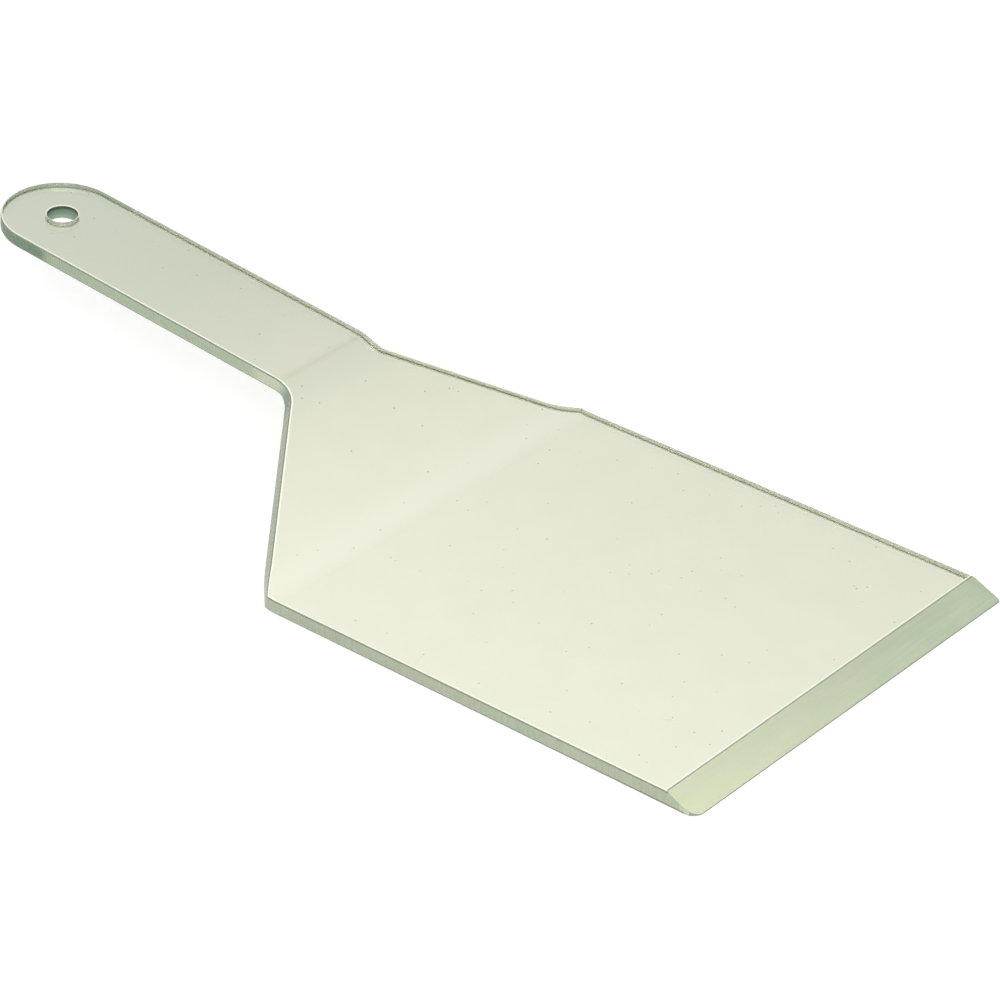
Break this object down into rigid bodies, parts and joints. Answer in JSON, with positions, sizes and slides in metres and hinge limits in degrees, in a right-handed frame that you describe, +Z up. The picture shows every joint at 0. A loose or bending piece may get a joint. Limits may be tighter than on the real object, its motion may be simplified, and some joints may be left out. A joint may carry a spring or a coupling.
{
  "type": "bench scraper",
  "caption": "Bench scraper cut from one clear plastic sheet, with a wide bevelled blade, tapering shoulders and a raised handle with a hanging hole.",
  "frame": {"origin": "centre of the part's box in X and Y, on the plane the blade's flat underside lies on", "axes": "+X from the handle towards the cutting edge, +Y to the left seen from the handle, +Z up, away from the bench"},
  "size_m": [0.349, 0.15, 0.053],
  "materials": {
    "clear_plastic": "clear cast sheet, faintly green, polished faces and a satin milled bevel"
  },
  "bodies": {
    "root": {"scraper": "clear_plastic"}
  },
  "joints": []
}
